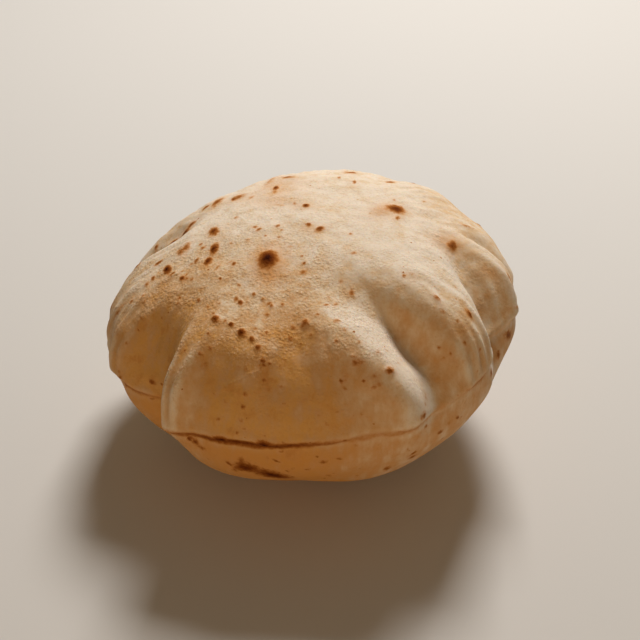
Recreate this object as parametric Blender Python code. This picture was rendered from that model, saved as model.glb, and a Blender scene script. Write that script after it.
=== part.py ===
"""Puffed flatbread: a balloon of baked dough, pleated around its seam, on a small flat resting spot."""

import math

import bmesh
import bpy
import numpy as np
from mathutils import Vector, noise

# Main sizes in metres, measured from the seam
NAME = "flatbread"
RIM_RADIUS = 0.0895
CROWN_RISE = 0.0465
BELLY_DROP = 0.0660
REST_DROP = 0.0600
REST_BLEND = 0.0016

# Roundness of the domed profile above and below the seam, 2 being an ellipse
CROWN_POWER = 2.1
BELLY_POWER = 1.85

# The bread leans, with its +X side up
LEAN = math.radians(7.2)

# Seam where the two skins meet
SEAM_GROOVE = 0.0014
SEAM_LIP = 0.0009
SEAM_WIDTH = 0.030

# Where the seam sags: azimuth and spread in degrees, depth in metres
SEAM_SAGS = ((-62, 30, 0.0030), (-150, 20, 0.0015), (58, 30, -0.0018), (128, 24, 0.0016))
SAG_REACH = 0.25

# Broad unevenness of the skin
SWELL_HEIGHT = 0.0020
SWELL_SIZE = 0.060
DIMPLE_HEIGHT = 0.0005
DIMPLE_SIZE = 0.017

# Mesh: around, and from the underside to the crown
AROUND = 124
RINGS = 48
PROFILE_STEPS = 600

# Baked dough
CRUST_COLOUR = (0.62, 0.43, 0.24)
CRUST_ROUGHNESS = 0.75


def fold(rim, low, high, lift, left, right, peak=0.06, up=0.20, down=0.14, fan=1.0, tip=0.0):
    """One line of the skin from the seam towards the crown, a valley where lift is below zero.

    rim, low and high are its azimuths in degrees at the seam, a quarter and half of the way up.
    left and right are its reach to either side in metres, widening upwards by fan.
    peak, up and down are where on the way up it is strongest and how soon it dies out.
    tip is how far it hangs over to the right, or to the left below zero.
    """
    line = np.polyfit((0.0, 0.25, 0.5), (rim, low, high), 2)
    return {"line": line, "lift": lift, "left": left, "right": right,
            "peak": peak, "up": up, "down": down, "fan": fan, "tip": tip}


FOLDS = (
    # Left valley and the sharp left crest of the front lobe
    fold(-140, -139, -138, -0.0105, 0.014, 0.005, peak=0.05, up=0.28, down=0.15),
    fold(-131, -130, -130, 0.0036, 0.004, 0.018, peak=0.07, up=0.32, down=0.08, tip=-0.0015),
    fold(-135, -135, -135, -0.0038, 0.012, 0.010, peak=-0.15, up=0.10, down=0.14, fan=0.0),
    # Shoulder of the front lobe and the flatter flank below it
    fold(-108, -108, -108, 0.0022, 0.030, 0.030, peak=0.42, up=0.12, down=0.12, fan=0.0),
    fold(-104, -104, -104, -0.0012, 0.026, 0.030, peak=0.26, up=0.09, down=0.09, fan=0.0),
    # Right crest of the front lobe and the wide valley behind it
    fold(-66, -69, -80, 0.0045, 0.018, 0.008, peak=0.14, up=0.34, down=0.11, tip=0.0022),
    fold(-56, -55, -53, -0.0090, 0.004, 0.016, peak=0.12, up=0.36, down=0.16),
    # Crest of the right lobe and the narrow valley behind it
    fold(-33, -36, -39, 0.0042, 0.018, 0.005, peak=0.12, up=0.34, down=0.12, tip=0.0020),
    fold(-27, -23, -9, -0.0095, 0.005, 0.011, peak=0.10, up=0.30, down=0.20),
    # Far right ridge with its pinch
    fold(-10, -8, -5, 0.0026, 0.006, 0.006, peak=0.02, up=0.22, down=0.04),
    # Ridges and hollows of the left lobe
    fold(-150, -149, -147, -0.0022, 0.008, 0.008, peak=0.18, up=0.16, down=0.10),
    fold(-157, -155, -147, 0.0018, 0.005, 0.005, peak=0.14, up=0.26, down=0.10),
    fold(-164, -162, -156, 0.0022, 0.005, 0.006, peak=0.08, up=0.30, down=0.08),
    fold(-172, -173, -180, 0.0012, 0.006, 0.006, peak=0.14, up=0.20, down=0.08),
    # Valleys around the far side
    fold(176, 171, 164, -0.0105, 0.012, 0.009, peak=0.28, up=0.24, down=0.20),
    fold(141, 138, 132, -0.0070, 0.008, 0.012),
    fold(102, 97, 92, -0.0080, 0.012, 0.008),
    fold(63, 58, 56, -0.0070, 0.008, 0.012, up=0.26),
    fold(34, 32, 30, -0.0060, 0.009, 0.007, peak=0.02, up=0.12),
    fold(14, 9, 7, -0.0060, 0.005, 0.008, peak=0.16, up=0.22),
    # Pillows between the far valleys
    fold(120, 118, 116, 0.0024, 0.018, 0.018, peak=0.04, up=0.16),
    fold(80, 78, 76, 0.0024, 0.018, 0.018, peak=0.04, up=0.16),
    # Broad hollows and bulges of the whole form
    fold(94, 94, 94, -0.0048, 0.064, 0.064, peak=0.00, up=0.24, down=0.30, fan=0.0),
    fold(128, 128, 128, -0.0022, 0.034, 0.034, peak=0.38, up=0.22, down=0.20, fan=0.0),
    fold(146, 146, 146, 0.0018, 0.016, 0.016, peak=0.44, up=0.20, down=0.20, fan=0.0),
    fold(24, 22, 20, 0.0016, 0.014, 0.014, peak=0.30, up=0.20, down=0.15, fan=0.0),
    fold(-2, -2, -2, 0.0036, 0.010, 0.010, peak=0.15, up=0.14, down=0.12, fan=0.0),
    fold(-160, -160, -160, 0.0012, 0.014, 0.020, peak=-0.04, up=0.10, down=0.16, fan=0.0),
    fold(-120, -120, -120, 0.0020, 0.014, 0.016, peak=-0.18, up=0.12, down=0.20, fan=0.0),
    fold(-100, -100, -100, -0.0014, 0.020, 0.020, peak=-0.36, up=0.16, down=0.20, fan=0.0),
    fold(-38, -38, -38, 0.0010, 0.022, 0.022, peak=-0.20, up=0.14, down=0.20, fan=0.0),
    fold(-72, -72, -72, 0.0012, 0.014, 0.016, peak=-0.34, up=0.16, down=0.20, fan=0.0),
)


def dome(power, rise):
    """Half profile from the rim to the pole: reach, height and share of the way along it."""
    turn = np.linspace(0.0, math.pi / 2.0, PROFILE_STEPS)
    across, along = np.cos(turn), np.sin(turn)
    size = (across ** power + along ** power) ** (-1.0 / power)
    reach = RIM_RADIUS * across * size
    height = rise * along * size
    way = np.concatenate([[0.0], np.cumsum(np.hypot(np.diff(reach), np.diff(height)))])
    return reach, height, way / way[-1]


def profile(climb):
    """Reach, height and outward slope of the puffed profile at each climb from -1 to 1."""
    reach = np.zeros_like(climb)
    height = np.zeros_like(climb)
    out = np.zeros_like(climb)
    rise = np.zeros_like(climb)
    for side, power, extent in ((1.0, CROWN_POWER, CROWN_RISE), (-1.0, BELLY_POWER, BELLY_DROP)):
        own = climb * side >= 0.0
        dome_reach, dome_height, way = dome(power, extent)
        reach[own] = np.interp(np.abs(climb[own]), way, dome_reach)
        height[own] = side * np.interp(np.abs(climb[own]), way, dome_height)
        out[own] = (reach[own] / RIM_RADIUS) ** (power - 1.0) / RIM_RADIUS
        rise[own] = side * (np.abs(height[own]) / extent) ** (power - 1.0) / extent
    length = np.hypot(out, rise)
    return reach, height, out / length, rise / length


def fold_pull(one, azimuth, climb, reach):
    """How far one fold moves the skin outwards, and sideways to the right."""
    line = np.radians(np.polyval(one["line"], np.clip(climb, -0.1, 0.6)))
    aside = (azimuth - line + math.pi) % (2.0 * math.pi) - math.pi
    across = aside * reach
    width = np.where(across < 0.0, one["left"], one["right"])
    width = width * (1.0 + one["fan"] * np.clip(climb, 0.0, 0.6))
    along = climb - one["peak"]
    fade = np.where(along > 0.0, one["up"], one["down"])
    strength = np.exp(-(across / width) ** 2) * np.exp(-(along / fade) ** 2)
    return one["lift"] * strength, one["tip"] * strength


def seam_lift(climb):
    """Groove at the seam with a lip of the upper skin over it."""
    groove = np.exp(-((climb + 0.5 * SEAM_WIDTH) / SEAM_WIDTH) ** 2)
    lip = np.exp(-((climb - 1.6 * SEAM_WIDTH) / SEAM_WIDTH) ** 2)
    return SEAM_LIP * lip - SEAM_GROOVE * groove


def uneven_lift(points):
    """Broad swells and small dimples of the skin."""
    lift = np.empty(len(points))
    for index, point in enumerate(points):
        place = Vector(point)
        swell = noise.noise(place / SWELL_SIZE)
        dimple = noise.noise(place / DIMPLE_SIZE)
        lift[index] = SWELL_HEIGHT * swell + DIMPLE_HEIGHT * dimple
    return lift


def seam_sag(azimuth, climb):
    """How far the seam runs below the level of the rim."""
    drop = np.zeros_like(azimuth)
    for middle, spread, depth in SEAM_SAGS:
        aside = (azimuth - math.radians(middle) + math.pi) % (2.0 * math.pi) - math.pi
        drop += depth * np.exp(-(aside / math.radians(spread)) ** 2)
    return drop * np.exp(-(climb / SAG_REACH) ** 2)


def skin(azimuth, climb):
    """Points of the bread's skin around the seam's centre, before it leans."""
    reach, height, out, rise = profile(climb)
    upright = np.array([0.0, 0.0, 1.0])
    around = np.stack([np.cos(azimuth), np.sin(azimuth), np.zeros_like(azimuth)], axis=1)
    aside = np.stack([-np.sin(azimuth), np.cos(azimuth), np.zeros_like(azimuth)], axis=1)
    points = around * reach[:, None] + upright * height[:, None]
    normal = around * out[:, None] + upright * rise[:, None]
    lift = seam_lift(climb) + uneven_lift(points)
    tip = np.zeros_like(climb)
    for one in FOLDS:
        pull = fold_pull(one, azimuth, climb, reach)
        lift = lift + pull[0]
        tip = tip + pull[1]
    sag = seam_sag(azimuth, climb)
    return points + normal * lift[:, None] + aside * tip[:, None] - upright * sag[:, None]


def lean(points):
    """Turn about the Y axis so that the +X side comes up."""
    cosine, sine = math.cos(LEAN), math.sin(LEAN)
    right, back, up = points.T
    return np.stack([right * cosine - up * sine, back, right * sine + up * cosine], axis=1)


def rest(points):
    """Flatten the underside on the surface it lies on."""
    height = points[:, 2] + REST_DROP
    touch = (height + REST_BLEND) ** 2 / (4.0 * REST_BLEND)
    height = np.where(height > REST_BLEND, height, np.where(height < -REST_BLEND, 0.0, touch))
    return np.column_stack([points[:, 0], points[:, 1], height])


def centred(points):
    """Move the points so that the middle of their box stands on the origin."""
    low, high = points.min(axis=0), points.max(axis=0)
    return points - np.array([(low[0] + high[0]) / 2.0, (low[1] + high[1]) / 2.0, low[2]])


def bread_mesh():
    """A ball whose rings run from the underside to the crown, drawn out to the bread's skin."""
    ball = bmesh.new()
    bmesh.ops.create_uvsphere(ball, u_segments=AROUND, v_segments=RINGS, radius=1.0)
    spots = np.array([vert.co[:] for vert in ball.verts])
    azimuth = np.arctan2(spots[:, 1], spots[:, 0])
    climb = np.arcsin(np.clip(spots[:, 2], -1.0, 1.0)) / (math.pi / 2.0)
    places = centred(rest(lean(skin(azimuth, climb))))
    for vert, place in zip(ball.verts, places):
        vert.co = place
    bmesh.ops.triangulate(ball, faces=ball.faces, quad_method="SHORT_EDGE", ngon_method="BEAUTY")
    bmesh.ops.recalc_face_normals(ball, faces=ball.faces)
    mesh = bpy.data.meshes.new(NAME)
    ball.to_mesh(mesh)
    ball.free()
    mesh.shade_smooth()
    return mesh


def crust_material():
    """Dry floury crust of pale baked dough."""
    material = bpy.data.materials.new("baked_crust")
    material.use_nodes = True
    shader = material.node_tree.nodes["Principled BSDF"]
    shader.inputs["Base Color"].default_value = (*CRUST_COLOUR, 1.0)
    shader.inputs["Roughness"].default_value = CRUST_ROUGHNESS
    shader.inputs["Metallic"].default_value = 0.0
    return material


def clear_scene():
    """Remove whatever the scene holds."""
    for item in list(bpy.data.objects):
        bpy.data.objects.remove(item, do_unlink=True)


def main():
    """Build the bread in a collection of its own."""
    clear_scene()
    group = bpy.data.collections.new("puffed flatbread")
    bpy.context.scene.collection.children.link(group)
    bread = bpy.data.objects.new(NAME, bread_mesh())
    bread.data.materials.append(crust_material())
    group.objects.link(bread)


if __name__ == "__main__":
    main()
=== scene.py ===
"""Puffed flatbread: a fine skin of pleated and blistered dough, on a plain pale floor."""

import math

import bmesh
import bpy
import numpy as np
from bpy.props import FloatProperty, FloatVectorProperty, IntProperty, PointerProperty
from bpy.types import Operator, Panel, PropertyGroup
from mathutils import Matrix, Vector, noise


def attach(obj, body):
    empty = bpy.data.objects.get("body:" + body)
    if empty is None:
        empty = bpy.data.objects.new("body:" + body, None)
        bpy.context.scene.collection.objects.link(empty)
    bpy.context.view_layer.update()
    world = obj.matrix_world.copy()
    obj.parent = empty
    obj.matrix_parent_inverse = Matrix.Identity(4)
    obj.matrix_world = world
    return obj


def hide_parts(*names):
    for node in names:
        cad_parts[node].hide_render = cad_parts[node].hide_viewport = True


bl_info = {
    "name": "Puffed flatbread",
    "version": (1, 0, 0),
    "blender": (4, 5, 0),
    "location": "3D View > Sidebar > Flatbread",
    "description": "Shapes and finishes a balloon of baked dough with its pleats, blisters and seam",
    "category": "Object",
}

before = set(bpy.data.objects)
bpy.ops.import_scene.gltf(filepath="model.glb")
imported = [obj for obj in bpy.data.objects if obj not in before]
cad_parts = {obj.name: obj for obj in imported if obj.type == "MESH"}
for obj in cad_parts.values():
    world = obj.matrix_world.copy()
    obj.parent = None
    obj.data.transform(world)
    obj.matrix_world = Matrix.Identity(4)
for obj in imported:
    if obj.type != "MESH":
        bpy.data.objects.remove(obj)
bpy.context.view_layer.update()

# Millimetres in a metre, and one of them in metres
MM_PER_M = 1000.0
MM = 0.001

# Roundness of the domed profile above and below the seam, 2 being an ellipse
CROWN_POWER = 2.1
BELLY_POWER = 1.85
PROFILE_STEPS = 600

# How softly the underside flattens on the surface it lies on, in metres
REST_BLEND = 0.0016

# Way over the skin from the seam to the crown and to the middle of the underside
UPPER_ARC = 0.1108
LOWER_ARC = 0.1215

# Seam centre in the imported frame
SEAM_CENTRE = (0.00018, 0.00051)

# Grid rows: how far below the ball's equator the seam lies, and how much closer they are there
SEAM_SHIFT = 0.12
ROW_PINCH = 0.45

# Where the seam sags: azimuth and spread in degrees and depth in metres. The sag fades with the climb.
SEAM_SAGS = ((-62, 30, 0.0030), (-150, 20, 0.0015), (58, 30, -0.0018), (128, 24, 0.0016))
SAG_REACH = 0.25

# Waves of the seam up and down the skin: height in metres, how many around the rim and their start
SEAM_WAVES = ((0.0009, 9.0, 0.0), (0.0006, 23.0, 1.0))

# Crease of the seam, rolled lip above it and tuck below it: height, way up and spread in metres
SEAM_RELIEF = ((-0.0008, 0.0, 0.0022), (0.0008, 0.0034, 0.0026), (-0.0010, -0.0045, 0.0060))

# Darkness of the seam's toasted line, and its darker stretches: azimuth, spread and added darkness
SEAM_STAIN = 0.30
SEAM_STAINS = ((-106, 20, 0.90), (-40, 5, 0.35), (-150, 8, 0.30), (-66, 9, 0.15))

# Climbs between which the line of a fold turns and its sides widen
FOLD_FOOT = -0.1
FOLD_HEAD = 0.6

# Unevenness of the skin: height and lump size in metres, and the seed of its noise
SWELLS = (0.0020, 0.060, 0)
DIMPLES = (0.0008, 0.017, 0)
BUMPS = (0.00040, 0.0062, 1)
WRINKLES = (0.00050, 0.0044, 5)

# How far apart the noises of two seeds lie, in lumps
SEED_STEP = (17.3, 5.1, 9.7)

# Share of the bumps' height at the seam, which grows with the climb, and its limits
BUMP_SHARE = 0.4
BUMP_LIMITS = (0.2, 1.0)

# Wrinkles: how drawn out they are up the skin, and the climbs where they set in and die out
WRINKLE_DRAW = 0.45
WRINKLE_START = (0.12, 0.32)
WRINKLE_END = (0.42, 0.62)

# Rounds of averaging that give the mean skin which crests stand out from, and that soften a mark
MEAN_ROUNDS = 14
SOFT_ROUNDS = 4

# Azimuth in degrees of the side that baked most, which is also the side turned away from the key light and
# painted in shade, and how far from below the heat came
FIRE_AND_SHADE_SIDE = -122.0
FIRE_AND_SHADE_LOW = -0.3

# How squarely a place faces the fire side, which is turned away from the key light and painted in shade,
# from -1 to 1:
# where the half towards it, the front and the side right before it set in and are complete
NEAR_HALF = (-0.30, 0.50)
NEAR_FRONT = (0.10, 0.75)
NEAR_SIDE = (0.68, 0.90)

# Baking from 0 for pale dough to 1 for gold, partly painted shade on the flank and on the near half, which
# is
# turned away from the key light: on top, what the near half adds there, on the flank, and what the near
# half and the near side add there
BAKED_TOP = 0.08
BAKED_AND_SHADE_TOP_HALF = 0.05
BAKED_AND_SHADE_FLANK = 0.32
BAKED_AND_SHADE_FLANK_HALF = 0.14
BAKED_AND_SHADE_FLANK_SIDE = 0.40

# Climbs between which the flank's baking and painted shade fade, and how much further they reach in front
FLANK_FADE = (0.15, 0.56)
FLANK_FRONT = 0.39

# Gold band along the near shoulder: strength, climb and spread
SHOULDER_BAND = (0.10, 0.40, 0.10)

# Pale left crest of the front lobe: strength, azimuth and spread in degrees
PALE_CREST = (0.24, -123, 9)

# Paler flank left of the front lobe: strength, azimuth in degrees where it starts, the angle that it
# takes to set in, and how squarely the fire is faced where it starts and is complete
PALE_FLANK = 0.20
PALE_FLANK_START = -140
PALE_FLANK_EDGE = (0.0, 0.3)
PALE_FLANK_TURN = (-0.92, -0.60)

# Painted light and shade on fold walls, partly baking: walls that a fold turns away from the fire, towards
# the key light, are painted paler and walls that it turns there, away from the light, more golden:
# strength of both, how far a wall may turn before it pales, and the most that counts
PALE_TOWARD_LIGHT = 1.3
PALE_TOWARD_LIGHT_START = 0.15
PALE_TOWARD_LIGHT_MOST = 0.4
EXPOSED_AND_SHADE = 0.5
EXPOSED_AND_SHADE_MOST = 0.5

# What crests and valleys lose in baking for each millimetre, and the most millimetres that count; the
# paler crests are partly a painted highlight
CREST_LOSS_AND_HIGHLIGHT = 0.80
VALLEY_LOSS = 0.30
CREST_MOST = 0.5

# Clouds in the baking: strength, size in metres and seed
BAKED_CLOUDS = (0.05, 0.024, 4)

# Flour lies above a climb: its middle, how much higher it is towards the fire, and its soft edge
FLOUR_START = 0.21
FLOUR_SWING = 0.09
FLOUR_EDGE = (-0.08, 0.12)

# How much lower flour reaches for each millimetre that a crest stands out, the limits in millimetres,
# its patches as strength, size and seed, and the climbs across the seam where it ends
FLOUR_CREST = 0.40
FLOUR_CREST_LIMITS = (-0.4, 0.6)
FLOUR_PATCHES = (0.035, 0.016, 3)
FLOUR_FOOT = (-0.02, 0.05)

# Sandiness of the far side, what the front adds, the share of that which the crown loses between two
# climbs, and the share that walls turned to the fire lose
SANDY_FAR = 0.60
SANDY_FRONT = 0.40
SANDY_CROWN = 0.5
SANDY_CROWN_CLIMBS = (0.60, 0.90)
SANDY_WALL = 0.8
SANDY_WALL_TURN = (0.06, 0.30)

# Length of one degree along the rim in millimetres, and the heat mark of skin without a blister
MM_PER_DEGREE = 1.57
NO_HEAT = -0.5

# Step in climb to either side that gives the upward direction at a blister
CLIMB_STEP = 0.01

# Blister: metres searched for each millimetre of its size and past its rim, heat in its middle and
# what it loses up to its rim, how many times its size its glow and rise spread, the height in metres
# of a rise of 1, and how round the rise is
BLISTER_REACH = 0.0016
BLISTER_MARGIN = 0.002
BLISTER_HEAT = 1.05
BLISTER_COOLING = 0.70
BLISTER_SPREAD = 1.7
BLISTER_HEIGHT = 0.0015
BLISTER_ROUND = 1.5

# Strewn blisters: seed, the last climb, glow, and the ranges of size, length, turn in degrees, heat
# and rise
STREWN_SEED = 7
STREWN_LIMIT = 0.95
STREWN_GLOW = 0.2
STREWN_SIZE = (0.7, 1.4)
STREWN_LENGTH = (1.0, 1.6)
STREWN_TURN = (-90.0, 90.0)
STREWN_HEAT = (0.6, 1.3)
STREWN_RISE = (0.3, 1.4)

# Blisters: azimuth in degrees and climb of the middle, length and width in millimetres, turn in
# degrees, heat, golden glow around it and rise. One without heat is a golden patch alone.
BLISTERS = (
    # Crown and back
    (-118, 0.757, 11, 8, -68, 1.00, 0.7, 0.9), (-114, 0.733, 15, 9, -65, 0, 0.8, 0.2),
    (16, 0.605, 8.5, 7, -75, 0.80, 0.5, 0.5), (14, 0.662, 10, 6, -48, 0, 0.6, 0),
    (6, 0.614, 4, 2.2, -22, 0.5, 0.4, 0.2), (-3.3, 0.386, 5.6, 4.6, 0, 0.60, 0.6, 0.8),
    (-2.4, 0.422, 10, 7, -42, 0, 0.55, 0.2), (76, 0.878, 3.5, 3, -57, 0.8, 0.4, 0.3),
    (96, 0.85, 3, 1.7, -86, 0.4, 0.1, 0), (-33, 0.952, 3, 2.4, 68, 0.7, 0.3, 0.3),
    (-50, 0.941, 4.2, 3.4, 68, 0, 0.4, 0), (-37, 0.896, 4.5, 3, -10, 0.66, 0.5, 0.4),
    (-173, 0.921, 2.6, 1.8, -25, 0.5, 0.35, 0.2), (-173, 0.848, 2.9, 2.2, -61, 0.5, 0.35, 0.2),
    (-27, 0.777, 2, 1.6, 17, 0.5, 0.35, 0.2), (-86.4, 0.787, 1.9, 1.7, 0, 0.45, 0.25, 0.2),
    (-85.4, 0.746, 1.8, 1.6, 0, 0.6, 0.25, 0.2), (-87, 0.70, 3.8, 3.1, -89, 0.42, 0.4, 0.3),
    (27, 0.577, 3.2, 1.6, -20, 0.5, 0.2, 0.1), (27, 0.43, 3.5, 1.7, -48, 0.42, 0.2, 0.1),
    (48, 0.447, 8, 4, -83, 0.5, 0.2, 0.1), (68, 0.445, 9, 6, -78, 0.5, 0.2, 0.1),
    (68, 0.575, 4.3, 1.8, -69, 0.45, 0.1, 0), (57, 0.594, 5.6, 1.8, -59, 0.47, 0.1, 0),
    (12, 0.298, 8, 2.1, -86, 0.34, 0.2, 0.2),
    # Upper left
    (172, 0.66, 7.6, 4.7, 21, 0.78, 0.4, 0.5), (-167, 0.664, 7.3, 3.7, -21, 0.82, 0.4, 0.5),
    (-157.6, 0.621, 5.7, 3.6, -30, 0.8, 0.45, 0.5), (152, 0.42, 5.5, 4.7, 79, 0.72, 0.5, 0.5),
    (148.5, 0.44, 5.5, 4, -51, 0.6, 0.5, 0.3), (-140.3, 0.683, 3, 2, -39, 0.7, 0.3, 0.3),
    (-163.5, 0.584, 3.7, 2, -43, 0.52, 0.2, 0.2), (-147, 0.634, 4.5, 1.6, -61, 0.42, 0.2, 0.2),
    (-137.6, 0.60, 2, 1.5, -25, 0.65, 0.1, 0.2), (-156.5, 0.506, 3.5, 2.6, 7, 0.85, 0.3, 0.4),
    (179.6, 0.552, 7, 3.6, 0, 0.5, 0.35, 0.3), (-177.7, 0.526, 7, 3.4, 16, 0.45, 0.4, 0.2),
    (159, 0.461, 9, 2.6, 85, 0.2, 0.3, 0.2), (155, 0.344, 6, 4, -32, 0.85, 0.4, 0.3),
    (-169, 0.466, 7, 3.6, 4, 0.9, 0.35, 0.5), (-169, 0.401, 4.4, 2.3, 0, 0.55, 0.2, 0.3),
    (-167.4, 0.371, 5.3, 3, -23, 0.42, 0.3, 0.3), (160, 0.392, 3.2, 2.3, 86, 0.6, 0.25, 0.2),
    (133, 0.476, 11, 6, 33, 0.5, 0.3, 0.2), (127, 0.57, 7.5, 6, -74, 0.5, 0.35, 0.2),
    (129.6, 0.558, 5.4, 2.1, 65, 0.75, 0, 0.1), (124, 0.645, 5.3, 2.8, 44, 0.35, 0.2, 0.1),
    (105, 0.488, 16, 3.1, 63, 0.28, 0.3, 0.2), (97, 0.513, 9.4, 4.5, -58, 0.5, 0.2, 0.1),
    (103.5, 0.622, 20, 12, -89, 0, 0.45, 0), (106, 0.638, 7.6, 2.4, 75, 0.75, 0.3, 0.3),
    (108.7, 0.687, 4.8, 2.2, 81, 0.36, 0.3, 0), (120, 0.76, 22, 6.3, -61, 0, 0.35, -0.1),
    (117, 0.818, 7.3, 1.8, -51, 0.26, 0, 0), (155, 0.726, 3.1, 2.2, 46, 0.38, 0.2, 0.1),
    # Along the shoulder of the front lobe
    (-118, 0.535, 3, 2.1, -44, 0.75, 0.25, 0.7), (-113.8, 0.584, 2.3, 1.8, -59, 0.6, 0.2, 0.6),
    (-103, 0.541, 2.8, 1.9, -67, 0.62, 0.2, 0.6), (-98, 0.549, 2.3, 1.8, -71, 0.52, 0.2, 0.5),
    (-108.4, 0.57, 1.9, 1.6, -58, 0.5, 0.1, 0.5), (-123, 0.438, 4.5, 3.3, -28, 0.72, 0.35, 1.0),
    (-119, 0.44, 1.9, 1.7, -50, 0.55, 0.1, 0.4), (-116.2, 0.433, 2.5, 2.1, -41, 0.76, 0.2, 0.7),
    (-111, 0.409, 3.9, 3.3, -32, 0.75, 0.35, 1.1), (-106.7, 0.39, 2.8, 2.3, -60, 0.65, 0.25, 0.8),
    (-102.3, 0.42, 2, 1.6, -77, 0.56, 0.1, 0.4), (-103.9, 0.359, 2.9, 2.6, -69, 0.58, 0.3, 0.9),
    (-102, 0.314, 2.2, 1.9, 69, 0.6, 0.3, 0.5), (-99.9, 0.307, 1.8, 1.6, 0, 0.45, 0.2, 0.4),
    (-96.8, 0.305, 1.8, 1.6, 0, 0.45, 0.1, 0.3), (-94, 0.408, 2.5, 2, -66, 0.48, 0.2, 0.5),
    (-86.7, 0.412, 1.9, 1.7, 0, 0.52, 0.2, 0.4), (-88.2, 0.464, 4.0, 3.2, -80, 0.62, 0.3, 1.0),
    (-106.8, 0.283, 4.1, 2.4, -81, 0.3, 0.2, 0.1), (-101, 0.252, 9.5, 2.4, -88, 0.24, 0.3, 0),
    (-99.8, 0.22, 3.7, 2.4, 89, 0.3, 0.2, 0), (-119.7, 0.33, 2.5, 2.2, -6, 0.4, 0.2, 0.2),
    (-122, 0.303, 1.9, 1.8, 0, 0.52, 0.2, 0.3), (-119.8, 0.275, 5.7, 4, -66, 0.24, 0.2, 0),
    (-138.5, 0.487, 2.8, 1.6, -27, 0.62, 0.1, 0.3), (-130.8, 0.476, 1.8, 1.5, -25, 0.54, 0.1, 0.1),
    # Flank of the front lobe
    (-106.3, 0.199, 2.6, 2.4, -14, 0.42, 0.2, 0.2), (-106.9, 0.155, 2.3, 2, 6, 0.52, 0.2, 0.2),
    (-107.3, 0.107, 2, 1.5, 23, 0.45, 0.1, 0.1), (-113.7, 0.1, 2.5, 1.6, 18, 0.47, 0.1, 0.1),
    (-108.6, 0.061, 1.8, 1.5, 18, 0.42, 0.1, 0.1), (-106.4, 0.079, 2.6, 1.8, -17, 0.3, 0.2, 0),
    (-85.5, 0.087, 2.4, 1.5, -51, 0.3, 0.1, 0), (-80, 0.229, 2, 1.7, 84, 0.52, 0.15, 0.2),
    (-74.2, 0.213, 1.8, 1.5, 80, 0.5, 0.1, 0.1), (-79, 0.361, 2, 1.8, -41, 0.42, 0.2, 0.2),
    (-74, 0.276, 4.6, 2, -27, 0.37, 0.3, 0), (-71.4, 0.217, 3, 2.8, 73, 0.35, 0.3, 0),
    (-67.2, 0.218, 3.8, 2.9, -7, 0.60, 0.5, 0.9), (-76.4, 0.106, 3.1, 1.7, 88, 0.28, 0.1, 0),
    # Right lobe
    (-41.7, 0.487, 2.1, 1.8, 43, 0.56, 0.3, 0.3), (-39.2, 0.47, 4.5, 2, -85, 0.25, 0.3, 0.3),
    (-64, 0.561, 4.6, 2.5, 57, 0.38, 0.2, 0.3), (-41, 0.345, 4.4, 2.2, 79, 0.48, 0.3, 0.7),
    (-35.6, 0.232, 5.0, 2.4, 76, 0.60, 0.4, 0.7), (-48.5, 0.21, 2.1, 1.6, 82, 0.38, 0.1, 0.1),
    (-13, 0.052, 2.4, 1.7, -57, 0.3, 0.3, 0.3),
    # Left lobe
    (-162.6, 0.344, 2.5, 2, -34, 0.42, 0.1, 0.2), (-146.3, 0.431, 3.4, 1.9, 21, 0.38, 0.2, 0.3),
    (-155, 0.186, 2.3, 1.5, 85, 0.36, 0.1, 0.2), (-154.2, 0.047, 2.8, 1.9, 52, 0.62, 0.3, 0.2),
    (-153.8, 0.012, 8, 2.9, 47, 0.52, 0.3, 0.2), (-168, 0.209, 11, 2.4, -87, 0.35, 0.3, 0.2),
    # Along the seam
    (-144.7, -0.008, 2.7, 2, 13, 0.5, 0.2, 0.1), (-123.4, -0.015, 4.1, 2.2, 51, 0.72, 0.2, 0.2),
    (-113.6, 0.016, 8, 4.4, 8, 0.95, 0.3, 0.2), (-101.9, 0.018, 7, 5, -10, 0.95, 0.3, 0.2),
    (-97, 0.031, 2, 1.7, 0, 0.4, 0.1, 0.1), (-81.8, 0.015, 3.7, 2.6, -44, 0.48, 0.1, 0.1),
    (-67.7, 0.018, 8, 2.8, -17, 0.36, 0.1, 0), (-45.5, 0.013, 7, 2, -39, 0.4, 0.1, 0.1),
    (-33, -0.041, 6, 3.2, -63, 0.4, 0.3, 0),
    # Lower skin
    (-109, -0.119, 12, 8, -3, 0.80, 0.5, 0.1), (-103, -0.164, 18, 10, -33, 0.85, 0.5, 0.1),
    (-113, -0.145, 5, 3.2, 45, 0.45, 0.2, 0), (-109.8, -0.077, 5.3, 3.1, 63, 0.4, 0.3, 0),
    (-100, -0.068, 4, 1.8, -36, 0.55, 0.2, 0.1), (-98.4, -0.024, 2.7, 1.8, 7, 0.46, 0.1, 0.1),
    (-89.3, -0.054, 2.1, 1.7, -70, 0.48, 0.1, 0.1), (-83.8, -0.074, 3.4, 1.9, -14, 0.46, 0.1, 0.1),
    (-70.7, -0.213, 6.2, 3.8, 82, 0.52, 0.2, 0.1), (-65.7, -0.097, 3.9, 1.6, -85, 0.37, 0.1, 0.1),
    (-63.3, -0.182, 5.5, 4.5, -31, 0.46, 0.2, 0), (-48.8, -0.088, 3.9, 1.8, -58, 0.58, 0.1, 0.2),
    (-16, -0.047, 10, 5.2, -40, 0.48, 0.3, 0),
)

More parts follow.
